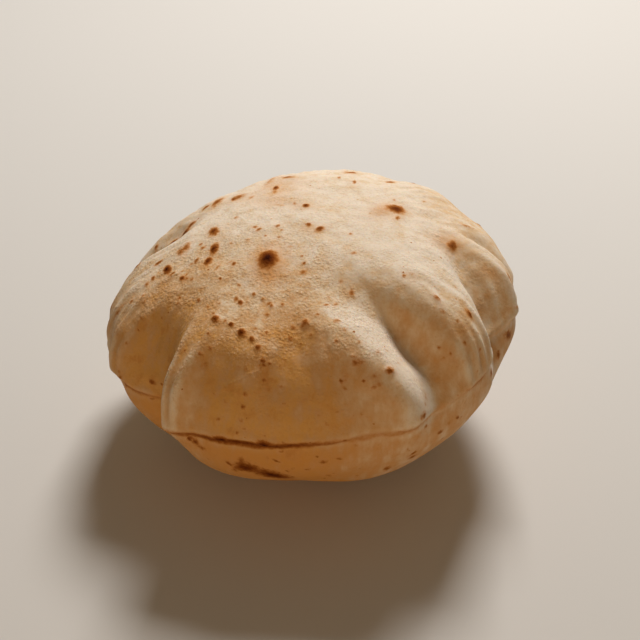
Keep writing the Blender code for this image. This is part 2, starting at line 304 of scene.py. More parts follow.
# Strewn small blisters: middle azimuth and climb, reach sideways and up the skin in millimetres,
# how many, usual size in millimetres, heat and rise
SPRINKLED = (
    (-104, 0.46, 34, 15, 34, 1.6, 0.42, 0.20), (-160, 0.52, 26, 20, 22, 1.8, 0.45, 0.10),
    (-95, 0.72, 30, 14, 12, 1.5, 0.38, 0.10), (-98, 0.14, 40, 12, 22, 1.5, 0.33, 0.05),
    (-74, 0.30, 10, 14, 12, 1.6, 0.38, 0.15), (-45, 0.16, 12, 14, 12, 1.4, 0.33, 0.05),
    (-85, -0.12, 42, 9, 26, 2.2, 0.45, 0.05), (-148, 0.20, 12, 16, 12, 1.5, 0.38, 0.05),
    (90, 0.17, 70, 12, 44, 3.0, 0.55, 0.40), (90, -0.16, 70, 14, 26, 3.0, 0.50, 0.10),
    (0, -0.62, 60, 30, 22, 4.5, 0.55, 0.10), (120, -0.62, 60, 30, 22, 4.5, 0.55, 0.10),
    (-120, -0.62, 60, 30, 22, 4.5, 0.55, 0.10),
)


def linear(text):
    """Linear colour of an sRGB hex value."""
    parts = [int(text[start:start + 2], 16) / 255.0 for start in (0, 2, 4)]
    return (*(part / 12.92 if part <= 0.04045 else ((part + 0.055) / 1.055) ** 2.4 for part in parts), 1.0)


# Dough from the pale dry top to the flank that baked most; its gold also stands in for shade on the side
# turned away from the key light
DOUGH = (
    (0.00, linear("E2D1BB")), (0.20, linear("DCC6AA")), (0.38, linear("D8BA95")),
    (0.56, linear("D0A87C")), (0.76, linear("CB9B66")), (1.00, linear("D29B53")),
)

# Dough under growing heat, from the first tan to char
SCORCH = (
    (0.00, linear("D6A873")), (0.25, linear("BD7E40")), (0.45, linear("945620")),
    (0.65, linear("6F3406")), (0.85, linear("481A02")), (1.00, linear("2C0A02")),
)

# Patterns of the crust: lump size in metres, detail and roughness. Real flour grains are finer, and
# are drawn as coarse as they need to show.
PATTERNS = {
    "cloud": (0.028, 3.0, 0.50), "patch": (0.0075, 3.0, 0.55), "lump": (0.0032, 3.0, 0.55),
    "edge": (0.0018, 4.0, 0.65), "grain": (0.0011, 3.0, 0.70), "smear": (0.0050, 4.0, 0.60),
    "crinkle": (0.0030, 2.0, 0.50),
}

# Middle value of a pattern
PATTERN_MIDDLE = 0.5

# How drawn out the smears are upwards, and the sizes in metres of the sandy grains and of the cells
# that hold one speck each
SMEAR_DRAW = (1.0, 1.0, 0.30)
SAND_SIZE = 0.0011
CELL_SIZE = 0.0042

# Marks that the shape leaves on the mesh for the finish to read
MARKS = ("way", "climb", "burnt", "glow", "flour", "baked", "stain")

# Blisters: how ragged and how patchy their rims are, and the heat marks where they fade out
BLISTER_RAGGED = 0.55
BLISTER_PATCHY = 0.30
BLISTER_FADE = (-0.30, 0.05)

# Specks: how ragged they are, their rim and core as shares of a cell, the cells that have one, and
# the range of their heat
SPECK_RAGGED = 0.35
SPECK_RIM = (0.17, 0.04)
SPECK_CELLS = (0.72, 0.78)
SPECK_HEAT = (0.10, 0.50)

# Toasted line: how far it wanders, its middle, its outer and inner edge, in millimetres, and its heat
LINE_WANDER = 3.4
LINE_MIDDLE = 1.0
LINE_EDGES = (4.0, 0.2)
LINE_HEAT = 0.60

# Scorched patches of the underside: pattern where they lie, climbs where they set in, and heat
UNDER_PATCHES = (0.48, 0.72)
UNDER_CLIMBS = (-0.30, -0.62)
UNDER_HEAT = 0.45

# Tan blush on baked dough, which follows the baking mark with its painted shade: sum of two patterns where
# it lies, and heat
BLUSH_PATCHES = (0.92, 1.26)
BLUSH_HEAT = 0.24

# Patterns that vary the baking, and how much
BAKED_BY = (("cloud", 0.50), ("patch", 0.55), ("smear", 1.00))

# Lower skin: way below the seam in millimetres over which its gold sets in, and its share
LOWER_WAY = (0.0, -5.0)
LOWER_SHARE = 0.75

# Flour dust and grit: pattern where they lie, and share of the surface there. Grit gathers where the
# skin is sandiest.
DUST_GRAINS = (0.52, 0.70)
DUST_SHARE = 0.45
GRIT_GRAINS = (0.50, 0.30)
GRIT_SANDY = (0.5, 1.0)
GRIT_SHARE = (0.20, 0.60)

# Gold around blisters: pattern that breaks it up, and its share
GLOW_PATCHES = (0.30, 0.70)
GLOW_SHARE = (0.60, 0.95)

# Heat at which the first tan shows, and at which it covers the dough
SCORCH_START = (0.02, 0.40)

# Relief of the crust in metres, on smooth and on sandy skin, with the sandiness it grows between
SANDY_RELIEF = (0.3, 1.0)
SAND_DEPTH = (0.00012, 0.00036)
SAND_ROUGH = 0.6
LUMP_DEPTH = (0.00022, 0.00045)
STROKE_DEPTH = (0.00002, 0.00005)

# Pattern that makes the relief uneven, and what it multiplies the relief by
UNEVEN_PATCHES = (0.36, 0.64)
UNEVEN_SHARE = (0.45, 1.25)

# Pimples: rim and core as shares of a cell, the cells that have one, sandiness and height in metres
PIMPLE_RIM = (0.30, 0.04)
PIMPLE_CELLS = (0.40, 0.90)
PIMPLE_SANDY = (0.2, 1.0)
PIMPLE_HEIGHT = 0.00030

# Cracked char: heat between which it sets in, and depth in metres
CHAR_HEAT = (0.50, 0.90)
CHAR_DEPTH = 0.00045

# Dry dough: roughness of smooth and of sandy skin, hardly any shine, and light that goes a little way
# in, furthest in red
DOUGH_ROUGHNESS = (0.70, 0.90)
DOUGH_SHINE = 0.05
DOUGH_DEPTH_SHARE = 0.10
DOUGH_DEPTH_COLOURS = (1.0, 0.5, 0.22)
DOUGH_DEPTH = 0.0025

# Floor: half its side and its roughness
FLOOR_REACH = 12.0
PLASTER_ROUGHNESS = 0.9

# Lamps: azimuth and elevation in degrees and distance from the bread, side in metres and colour
KEY_PLACE = (76.0, 51.0, 1.3)
KEY_SIZE = 0.40
KEY_COLOUR = (1.0, 0.98, 0.96)
BOUNCE_PLACE = (-96.0, 12.0, 0.9)
BOUNCE_SIZE = 0.6
BOUNCE_COLOUR = (1.0, 0.73, 0.45)
ROOM_COLOUR = (1.0, 0.80, 0.57, 1.0)

# Camera: sensor width and focal length in millimetres, and its shift
SENSOR_WIDTH = 36.0
FOCAL_LENGTH = 81.5625
CAMERA_SHIFT = (0.0125, -0.0141)


def fold(rim, low, high, lift, left, right, peak=0.06, up=0.20, down=0.14, fan=1.0, left_fan=None,
         power=2.0, tip=0.0):
    """One line of the skin from the seam towards the crown, a valley where lift is below zero.

    rim, low and high are its azimuths in degrees at the seam, a quarter and half of the way up.
    lift is its height, and left and right its reach to either side, all in millimetres.
    fan widens both sides upwards, and left_fan the left one on its own.
    peak, up and down are where on the way up it is strongest and how soon it dies out.
    power is 2 for a round crest and nearer 1 for a sharp one.
    tip is how far it hangs over to the right, or to the left below zero.
    """
    line = np.polyfit((0.0, 0.25, 0.5), (rim, low, high), 2)
    fans = (fan if left_fan is None else left_fan, fan)
    return {"line": line, "lift": lift, "reach": (left, right), "fans": fans,
            "peak": peak, "up": up, "down": down, "power": power, "tip": tip}


FOLDS = (
    # Left hollow and the sharp left crest of the front lobe
    fold(-137.5, -138.5, -139, -11.0, 14, 7.0, peak=0.05, up=0.28, down=0.15, power=1.7),
    fold(-129, -129, -131, 5.6, 4.6, 11, peak=0.05, up=0.34, down=0.12, fan=1.6, left_fan=1.0),
    fold(-138, -138, -138, -5.0, 14, 10, peak=-0.17, up=0.11, down=0.14, fan=0.0),
    # Shoulder of the front lobe and the flatter flank below it
    fold(-106, -106, -106, 3.2, 28, 32, peak=0.36, up=0.14, down=0.19, fan=0.0),
    # Right crest of the front lobe and the wide valley behind it
    fold(-65, -68.5, -81, 6.2, 9, 8, peak=0.12, up=0.30, down=0.16, tip=1.0, power=2.3),
    fold(-55.5, -54.3, -56, -12.3, 6.0, 9.5, peak=0.27, up=0.28, down=0.16, fan=0.2, left_fan=1.8,
         power=1.5),
    # Crest of the right lobe and the narrow valley behind it
    fold(-43, -45, -50, 7.0, 8, 17, peak=0.27, up=0.40, down=0.20, fan=0.5, left_fan=0.3, tip=0.6),
    fold(-26, -18.5, 0, -10.5, 7.0, 12, peak=0.14, up=0.28, down=0.20, fan=0.6, left_fan=1.3,
         power=2.2),
    # Far right ridge with its pinch, and the shallow valley behind it
    fold(-14, -6, 3, 2.4, 6, 5, peak=0.05, up=0.24, down=0.06, power=1.6),
    fold(-3, 4, 14, -4.5, 3.5, 5.0, peak=0.14, up=0.20, down=0.10),
    fold(-8, -8, -8, 1.8, 9, 9, peak=-0.07, up=0.06, down=0.10, fan=0.0),
    # Ridges and hollows of the left lobe
    fold(-149, -149, -148, -2.4, 8, 8, peak=0.18, up=0.16, down=0.10),
    fold(-155.5, -155.5, -152, 1.6, 5, 5, peak=0.16, up=0.26, down=0.10),
    fold(-161, -161.5, -167, 2.0, 5, 5, peak=0.10, up=0.30, down=0.08),
    fold(-171, -170, -172, 1.4, 5, 6, peak=0.14, up=0.20, down=0.08),
    # Valleys around the far side
    fold(172, 164, 153, -10.0, 11, 6.5, peak=0.26, up=0.22, down=0.20),
    fold(141, 138, 132, -7.0, 8, 12),
    fold(102, 97, 92, -8.0, 12, 8),
    fold(63, 58, 56, -7.0, 8, 12, up=0.26),
    fold(34, 32, 30, -6.0, 9, 7, peak=0.02, up=0.12),
    # Pillows between the far valleys
    fold(120, 118, 116, 2.4, 18, 18, peak=0.04, up=0.16),
    fold(80, 78, 76, 2.4, 18, 18, peak=0.04, up=0.16),
    # Broad hollows and bulges of the whole form
    fold(94, 94, 94, -4.8, 64, 64, peak=0.00, up=0.24, down=0.30, fan=0.0),
    fold(128, 128, 128, -2.2, 34, 34, peak=0.38, up=0.22, down=0.20, fan=0.0),
    fold(146, 146, 146, 1.8, 16, 16, peak=0.44, up=0.20, down=0.20, fan=0.0),
    fold(24, 22, 20, -1.2, 14, 14, peak=0.30, up=0.20, down=0.15, fan=0.0),
    fold(-2, -2, -2, 2.2, 10, 10, peak=0.15, up=0.14, down=0.12, fan=0.0),
    fold(-160, -160, -160, 0.5, 14, 20, peak=-0.04, up=0.10, down=0.16, fan=0.0),
    fold(-120, -120, -120, 2.0, 14, 16, peak=-0.18, up=0.12, down=0.20, fan=0.0),
    fold(-100, -100, -100, -1.4, 20, 20, peak=-0.36, up=0.16, down=0.20, fan=0.0),
    fold(-38, -38, -38, 1.0, 22, 22, peak=-0.20, up=0.14, down=0.20, fan=0.0),
    fold(-72, -72, -72, 1.2, 14, 16, peak=-0.34, up=0.16, down=0.20, fan=0.0),
)

# Fine creases that the folds gather around them, in the same terms
CREASES = (
    # Twin ridges along the front lobe's left crest, the groove between them and the dip beside them
    fold(-130.2, -130.8, -133, 1.2, 1.7, 1.6, peak=0.14, up=0.26, down=0.12, fan=0.8, power=1.6),
    fold(-128.0, -128.0, -128, -0.7, 1.5, 1.5, peak=0.12, up=0.22, down=0.10, fan=0.8),
    fold(-126.0, -125.2, -119, 1.2, 1.9, 2.8, peak=0.20, up=0.22, down=0.14, fan=0.8, power=1.6),
    fold(-123.0, -121.0, -114, -1.6, 3.0, 6.0, peak=0.16, up=0.12, down=0.12, fan=0.4),
    # Tongues and bays along the rim of the front lobe's shoulder, and a rough streak below it
    fold(-102, -102, -102, 0.5, 20, 16, peak=0.335, up=0.05, down=0.03, fan=0.0),
    fold(-114.5, -115, -116, -0.5, 7, 6, peak=0.23, up=0.07, down=0.12, fan=0.0),
    fold(-105, -105, -105, 1.3, 6, 6, peak=0.29, up=0.08, down=0.09, fan=0.0),
    fold(-92, -92, -92, -2.5, 8, 7, peak=0.34, up=0.11, down=0.15, fan=0.0),
    fold(-81, -81, -82, 1.4, 6, 6, peak=0.29, up=0.10, down=0.08, fan=0.0),
    fold(-143.5, -107, -70.5, 0.5, 1.8, 2.4, peak=0.24, up=0.045, down=0.035, fan=0.0),
    # Step on the front lobe's right crest
    fold(-66, -71, -80, 0.7, 4.0, 2.6, peak=0.42, up=0.10, down=0.09, fan=0.2),
    # Wrinkles that run into the right lobe's pinch
    fold(-45.0, -44.5, -43, 1.1, 1.9, 1.5, peak=0.11, up=0.12, down=0.08, fan=0.6, power=1.6),
    fold(-41.2, -40.6, -39, 1.4, 1.9, 1.4, peak=0.12, up=0.13, down=0.08, fan=0.6, power=1.6),
    fold(-37.8, -37.8, -37, 1.4, 1.9, 1.4, peak=0.13, up=0.14, down=0.08, fan=0.6, power=1.6),
    fold(-34.2, -33.4, -35, 1.3, 1.9, 1.4, peak=0.15, up=0.20, down=0.09, fan=0.6, power=1.6),
    # Ridges that run into the far right pinch
    fold(-22, -10.5, 0, 1.1, 1.5, 2.0, peak=0.16, up=0.12, down=0.10, fan=0.8, power=1.6),
    fold(-14, -6, 3, 1.2, 2.0, 1.8, peak=0.13, up=0.18, down=0.08, fan=0.8, power=1.5),
    # Fine ridges on the rim of the left lobe and in its hollow
    fold(-155, -155.5, -150, 1.0, 1.6, 1.8, peak=0.20, up=0.22, down=0.14, fan=0.6, power=1.5),
    fold(-158, -158, -156, 0.5, 1.3, 1.4, peak=0.26, up=0.16, down=0.12, fan=0.6, power=1.5),
    fold(-160.7, -161, -166, 1.2, 1.5, 1.8, peak=0.16, up=0.26, down=0.14, fan=0.8, power=1.5),
    fold(-164.5, -165.5, -173, 0.6, 1.5, 1.6, peak=0.22, up=0.20, down=0.10, fan=0.8, power=1.5),
    fold(-171, -170.5, -175, 1.0, 1.6, 1.8, peak=0.18, up=0.20, down=0.12, fan=0.8, power=1.5),
    fold(-126, -149, -172, 0.6, 2.6, 2.8, peak=0.30, up=0.05, down=0.05, fan=0.0),
)


class BreadForm(PropertyGroup):
    """Sizes of the puffed dough."""

    rim_radius: FloatProperty(name="Rim radius", description="From the middle to the seam",
                              default=0.0895, unit="LENGTH")
    crown_rise: FloatProperty(name="Crown rise", description="From the seam up to the crown",
                              default=0.0465, unit="LENGTH")
    belly_drop: FloatProperty(name="Belly drop", description="From the seam down to the round underside",
                              default=0.0660, unit="LENGTH")
    rest_drop: FloatProperty(name="Rest drop", description="From the seam down to the resting spot",
                             default=0.0600, unit="LENGTH")
    lean: FloatProperty(name="Lean", description="How far the right side comes up",
                        default=math.radians(7.2), unit="ROTATION")
    cells: IntProperty(name="Cells", description="Grid cells along each edge of the cube that is blown up",
                       default=126, min=8)


class CrustLook(PropertyGroup):
    """Colours of the baked crust."""

    under: FloatVectorProperty(name="Lower skin", description="Orange gold below the seam",
                               default=linear("C98943"), subtype="COLOR", size=4)
    flour: FloatVectorProperty(name="Flour", description="Dusting on crests",
                               default=linear("EEDAC0"), subtype="COLOR", size=4)
    glow: FloatVectorProperty(name="Glow", description="Gold around a blister",
                              default=linear("CC8D4C"), subtype="COLOR", size=4)
    grit: FloatVectorProperty(name="Grit", description="Fine flecks in the dry skin",
                              default=linear("B5824B"), subtype="COLOR", size=4)


class StageLook(PropertyGroup):
    """Floor, lights and camera."""

    floor: FloatVectorProperty(name="Floor", description="Plain pale floor",
                               default=linear("CFCBC5"), subtype="COLOR", size=4)
    key: FloatProperty(name="Key light", description="Power of the large soft light behind on the right",
                       default=18.0, unit="POWER")
    bounce: FloatProperty(name="Bounce light", description="Power of the low warm light in front",
                          default=2.0, unit="POWER")
    room: FloatProperty(name="Room", description="Brightness of the room", default=0.12)
    elevation: FloatProperty(name="Camera elevation", description="Angle above the floor",
                             default=math.radians(36.0), unit="ROTATION")
    distance: FloatProperty(name="Camera distance", description="From the camera to the seam's centre",
                            default=0.6395, unit="LENGTH")


# Form of the skin
def dome(power, rise, radius):
    """Half profile from the rim to the pole: reach, height and share of the way along it."""
    turn = np.linspace(0.0, math.pi / 2.0, PROFILE_STEPS)
    across, along = np.cos(turn), np.sin(turn)
    size = (across ** power + along ** power) ** (-1.0 / power)
    reach = radius * across * size
    height = rise * along * size
    way = np.concatenate([[0.0], np.cumsum(np.hypot(np.diff(reach), np.diff(height)))])
    return reach, height, way / way[-1]


def profile(climb, form):
    """Reach, height and outward slope of the puffed profile at each climb from -1 to 1."""
    reach = np.zeros_like(climb)
    height = np.zeros_like(climb)
    out = np.zeros_like(climb)
    rise = np.zeros_like(climb)
    sides = ((1.0, CROWN_POWER, form.crown_rise), (-1.0, BELLY_POWER, form.belly_drop))
    for side, power, extent in sides:
        own = climb * side >= 0.0
        dome_reach, dome_height, way = dome(power, extent, form.rim_radius)
        reach[own] = np.interp(np.abs(climb[own]), way, dome_reach)
        height[own] = side * np.interp(np.abs(climb[own]), way, dome_height)
        out[own] = (reach[own] / form.rim_radius) ** (power - 1.0) / form.rim_radius
        rise[own] = side * (np.abs(height[own]) / extent) ** (power - 1.0) / extent
    length = np.hypot(out, rise)
    return reach, height, out / length, rise / length


def turned(azimuth, degrees):
    """Angle from a direction in degrees to each azimuth, the short way round."""
    return (azimuth - np.radians(degrees) + math.pi) % (2.0 * math.pi) - math.pi


def eased(values, low, high):
    """0 below low, 1 above high and smooth between."""
    share = np.clip((values - low) / (high - low), 0.0, 1.0)
    return share * share * (3.0 - 2.0 * share)


def fold_pull(one, azimuth, climb, reach):
    """How far one fold moves the skin outwards, and sideways to the right, in metres."""
    level = np.clip(climb, 0.0, FOLD_HEAD)
    line = np.polyval(one["line"], np.clip(climb, FOLD_FOOT, FOLD_HEAD))
    across = turned(azimuth, line) * reach * MM_PER_M
    left = one["reach"][0] * (1.0 + one["fans"][0] * level)
    right = one["reach"][1] * (1.0 + one["fans"][1] * level)
    apart = np.abs(across) / np.where(across < 0.0, left, right)
    along = climb - one["peak"]
    fade = np.where(along > 0.0, one["up"], one["down"])
    strength = np.exp(-apart ** one["power"]) * np.exp(-(along / fade) ** 2) * MM
    return one["lift"] * strength, one["tip"] * strength


def seam_sag(azimuth, climb):
    """How far the seam runs below the level of the rim."""
    drop = np.zeros_like(azimuth)
    for middle, spread, depth in SEAM_SAGS:
        drop += depth * np.exp(-(turned(azimuth, middle) / math.radians(spread)) ** 2)
    return drop * np.exp(-(climb / SAG_REACH) ** 2)


def noise_at(points, size, seed):
    """Smooth noise from -1 to 1 with lumps of a size in metres."""
    shift = Vector([seed * step for step in SEED_STEP])
    return np.array([noise.noise(Vector(point) / size + shift) for point in points])


def uneven(points, kind):
    """One kind of unevenness at each point, from its strength, lump size and seed."""
    strength, size, seed = kind
    return strength * noise_at(points, size, seed)


def lean_over(points, angle):
    """Turn about the Y axis so that the +X side comes up."""
    cosine, sine = math.cos(angle), math.sin(angle)
    right, back, up = points.T
    return np.stack([right * cosine - up * sine, back, right * sine + up * cosine], axis=1)


def settle(points, drop):
    """Flatten the underside on the surface it lies on."""
    height = points[:, 2] + drop
    touch = (height + REST_BLEND) ** 2 / (4.0 * REST_BLEND)
    height = np.where(height > REST_BLEND, height, np.where(height < -REST_BLEND, 0.0, touch))
    return np.column_stack([points[:, 0], points[:, 1], height])


def blown_cube(cells):
    """A cube of even grid cells, which bread_piece later blows out to a ball."""
    ball = bmesh.new()
    bmesh.ops.create_cube(ball, size=2.0)
    bmesh.ops.subdivide_edges(ball, edges=ball.edges[:], cuts=cells - 1, use_grid_fill=True)
    return ball


def climb_of(share):
    """Way from the seam for a latitude share, with more and closer rows on the upper skin."""
    upper = np.clip((share + SEAM_SHIFT) / (1.0 + SEAM_SHIFT), 0.0, 1.0)
    lower = np.clip((-SEAM_SHIFT - share) / (1.0 - SEAM_SHIFT), 0.0, 1.0)
    under_pinch = 1.0 - (1.0 - ROW_PINCH) * (1.0 - SEAM_SHIFT) / (1.0 + SEAM_SHIFT)
    return (upper - ROW_PINCH * upper * (1.0 - upper) ** 2
            - lower + under_pinch * lower * (1.0 - lower) ** 2)


def smooth_form(azimuth, climb, form):
    """Points and outward directions of the form before any fold."""
    reach, height, out, rise = profile(climb, form)
    side = np.stack([np.cos(azimuth), np.sin(azimuth), np.zeros_like(azimuth)], axis=1)
    upright = np.array([0.0, 0.0, 1.0])
    points = side * reach[:, None] + upright * height[:, None]
    normal = side * out[:, None] + upright * rise[:, None]
    return points, normal, reach


def seam_relief(azimuth, way):
    """Crease where the two skins meet, with the upper skin rolled slightly over the lower."""
    wander = np.zeros_like(way)
    for height, waves, start in SEAM_WAVES:
        wander += height * np.sin(azimuth * waves + start)
    place = way - wander
    relief = np.zeros_like(way)
    for height, middle, spread in SEAM_RELIEF:
        relief += height * np.exp(-((place - middle) / spread) ** 2)
    return relief


def blister_place(azimuth, climb, form):
    """Centre of a blister on the smooth form, with its level and its upward direction."""
    angle = np.radians(np.full(3, azimuth))
    line = smooth_form(angle, climb + np.array([-CLIMB_STEP, 0.0, CLIMB_STEP]), form)[0]
    upward = line[2] - line[0]
    level = np.array([-math.sin(angle[0]), math.cos(angle[0]), 0.0])
    return line[1], level, upward / np.linalg.norm(upward)


def sprinkled_blisters():
    """Small blisters strewn about their middles with a fixed seed, one group after another."""
    dice = np.random.default_rng(STREWN_SEED)
    strewn = []
    for azimuth, climb, aside, upward, count, usual, heat, rise in SPRINKLED:
        for index in range(count):
            turn = azimuth + aside * dice.normal() / MM_PER_DEGREE
            level = climb + upward * dice.normal() / (UPPER_ARC * MM_PER_M)
            level = np.clip(level, -STREWN_LIMIT, STREWN_LIMIT)
            size = usual * dice.uniform(*STREWN_SIZE)
            length = size * dice.uniform(*STREWN_LENGTH)
            strewn.append((turn, level, length, size, dice.uniform(*STREWN_TURN),
                           heat * dice.uniform(*STREWN_HEAT), STREWN_GLOW,
                           rise * dice.uniform(*STREWN_RISE)))
    return tuple(strewn)


def blister_marks(points, form):
    """Scorch, golden glow and rise of all the blisters at each point."""
    burnt = np.full(len(points), NO_HEAT)
    glowing = np.zeros(len(points))
    raised = np.zeros(len(points))
    for azimuth, climb, length, width, turn, heat, glow, lift in BLISTERS + sprinkled_blisters():
        centre, level, upward = blister_place(azimuth, climb, form)
        reach = BLISTER_REACH * max(length, width) + BLISTER_MARGIN
        near = np.where(np.linalg.norm(points - centre, axis=1) < reach)[0]
        offset = (points[near] - centre) * MM_PER_M
        across, along = offset @ level, offset @ upward
        cosine, sine = math.cos(math.radians(turn)), math.sin(math.radians(turn))
        apart = np.hypot((across * cosine + along * sine) / length * 2.0,
                         (along * cosine - across * sine) / width * 2.0)
        if heat > 0.0:
            burnt[near] = np.maximum(burnt[near], heat * (BLISTER_HEAT - BLISTER_COOLING * apart))
        shine = glow * np.exp(-(apart / BLISTER_SPREAD) ** 2)
        glowing[near] = 1.0 - (1.0 - glowing[near]) * (1.0 - shine)
        swell = np.clip(1.0 - apart / BLISTER_SPREAD, 0.0, 1.0) ** BLISTER_ROUND
        raised[near] += lift * BLISTER_HEIGHT * swell
    return burnt, glowing, raised


def skin_shape(azimuth, climb, form):
    """Points of the bread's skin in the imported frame, and its marks for the finish."""
    smooth, normal, reach = smooth_form(azimuth, climb, form)
    upright = np.array([0.0, 0.0, 1.0])
    aside = np.stack([-np.sin(azimuth), np.cos(azimuth), np.zeros_like(azimuth)], axis=1)
    lift = uneven(smooth, SWELLS) + uneven(smooth, DIMPLES)
    lift += uneven(smooth, BUMPS) * np.clip(BUMP_SHARE + climb, *BUMP_LIMITS)
    drawn = np.stack([np.cos(azimuth), np.sin(azimuth), WRINKLE_DRAW * climb], axis=1) * form.rim_radius
    lift += uneven(drawn, WRINKLES) * eased(climb, *WRINKLE_START) * (1.0 - eased(climb, *WRINKLE_END))
    tip = np.zeros_like(climb)
    for one in FOLDS + CREASES:
        pull = fold_pull(one, azimuth, climb, reach)
        lift = lift + pull[0]
        tip = tip + pull[1]
    way = climb * np.where(climb > 0.0, UPPER_ARC, LOWER_ARC)
    burnt, glowing, raised = blister_marks(smooth, form)
    lift += seam_relief(azimuth, way) + raised
    sag = seam_sag(azimuth, climb)
    points = smooth + normal * lift[:, None] + aside * tip[:, None] - upright * sag[:, None]
    points = settle(lean_over(points, form.lean), form.rest_drop)
    points[:, 0] += SEAM_CENTRE[0]
    points[:, 1] += SEAM_CENTRE[1]
    return points, {"way": way * MM_PER_M, "climb": climb, "burnt": burnt, "glow": glowing}


def blurred(values, edges, rounds):
    """Values averaged with their neighbours along the mesh edges, several times over."""
    first, second = edges[:, 0], edges[:, 1]
    count = len(values)
    shared = np.bincount(first, minlength=count) + np.bincount(second, minlength=count)
    for step in range(rounds):
        total = (np.bincount(first, weights=values[second], minlength=count)
                 + np.bincount(second, weights=values[first], minlength=count))
        values = 0.5 * values + 0.5 * total / shared
    return values


def mesh_edges(mesh):
    """The two points of each edge, a row an edge."""
    edges = np.empty(len(mesh.edges) * 2, dtype=np.int32)
    mesh.edges.foreach_get("vertices", edges)
    return edges.reshape(-1, 2)


def mesh_normals(mesh):
    """The outward direction at each point."""
    normals = np.empty(len(mesh.vertices) * 3)
    mesh.vertices.foreach_get("normal", normals)
    return normals.reshape(-1, 3)


def ridge_marks(points, normals, edges):
    """How many millimetres the skin stands out, above zero on crests and below it in valleys."""
    mean = np.stack([blurred(points[:, axis], edges, MEAN_ROUNDS) for axis in range(3)], axis=1)
    bulge = ((points - mean) * normals).sum(axis=1) * MM_PER_M
    return blurred(bulge, edges, SOFT_ROUNDS)


def fire_and_shade_marks(azimuth, climb, normals, edges, form):
    """How much more the skin faces the fire side, turned away from the key light, than the form before any
    fold does; it guides the painted shade and light on fold walls.
    """
    turn = math.radians(FIRE_AND_SHADE_SIDE)
    fire = np.array([math.cos(turn), math.sin(turn), FIRE_AND_SHADE_LOW])
    plain = lean_over(smooth_form(azimuth, climb, form)[1], form.lean)
    return blurred(normals @ fire, edges, SOFT_ROUNDS) - plain @ fire


def flour_marks(azimuth, climb, ridge, facing_fire_and_shade, points):
    """Where the skin is dry, sandy and floury: the top, the shoulders and the crests of folds."""
    front = np.cos(azimuth - math.radians(FIRE_AND_SHADE_SIDE))
    start = FLOUR_START + FLOUR_SWING * front
    level = climb + FLOUR_CREST * np.clip(ridge, *FLOUR_CREST_LIMITS) + uneven(points, FLOUR_PATCHES)
    crown = SANDY_CROWN * eased(climb, *SANDY_CROWN_CLIMBS)
    sandy = SANDY_FAR + SANDY_FRONT * eased(front, *NEAR_FRONT) * (1.0 - crown)
    sandy *= 1.0 - SANDY_WALL * eased(facing_fire_and_shade, *SANDY_WALL_TURN)
    dusted = eased(level, start + FLOUR_EDGE[0], start + FLOUR_EDGE[1])
    return dusted * eased(climb, *FLOUR_FOOT) * sandy


def baked_and_shade_marks(azimuth, climb, ridge, facing_fire_and_shade, points):
    """How far the dough goes from pale to gold, partly baking and partly painted shade: most low on the
    side that faced the fire, which is turned away from the key light.
    """
    front = np.cos(azimuth - math.radians(FIRE_AND_SHADE_SIDE))
    side = eased(front, *NEAR_SIDE)
    half = eased(front, *NEAR_HALF)
    low = 1.0 - eased(climb, FLANK_FADE[0], FLANK_FADE[1] + FLANK_FRONT * eased(front, *NEAR_FRONT))
    # The flank, the near half and the near side, turned away from the key light, get more gold: partly
    # painted shade
    flank = BAKED_AND_SHADE_FLANK + BAKED_AND_SHADE_FLANK_HALF * half + BAKED_AND_SHADE_FLANK_SIDE * side
    baked = BAKED_TOP + BAKED_AND_SHADE_TOP_HALF * half + flank * low
    strength, middle, spread = SHOULDER_BAND
    baked += strength * side * np.exp(-((climb - middle) / spread) ** 2)
    strength, middle, spread = PALE_CREST
    baked -= strength * low * np.exp(-(turned(azimuth, middle) / math.radians(spread)) ** 2)
    beyond = eased(-turned(azimuth, PALE_FLANK_START), *PALE_FLANK_EDGE)
    baked -= PALE_FLANK * low * eased(-front, *PALE_FLANK_TURN) * beyond
    # Painted light: walls turned towards the key light paler; painted shade, partly baking: walls turned
    # from it more golden
    pale_toward_light = PALE_TOWARD_LIGHT * np.clip(facing_fire_and_shade + PALE_TOWARD_LIGHT_START, -PALE_TOWARD_LIGHT_MOST, 0.0)
    baked += pale_toward_light + EXPOSED_AND_SHADE * np.clip(facing_fire_and_shade, 0.0, EXPOSED_AND_SHADE_MOST) * (1.0 - baked)
    # Crests are made paler, partly a painted highlight on them, and valleys paler as well
    baked -= CREST_LOSS_AND_HIGHLIGHT * np.clip(ridge, 0.0, CREST_MOST) + VALLEY_LOSS * np.clip(-ridge, 0.0, CREST_MOST)
    return baked + uneven(points, BAKED_CLOUDS)


def stain_marks(azimuth):
    """How dark the seam's toasted line is around the rim."""
    dark = np.full_like(azimuth, SEAM_STAIN)
    for middle, spread, strength in SEAM_STAINS:
        dark += strength * np.exp(-(turned(azimuth, middle) / math.radians(spread)) ** 2)
    return np.clip(dark, 0.0, 1.0)


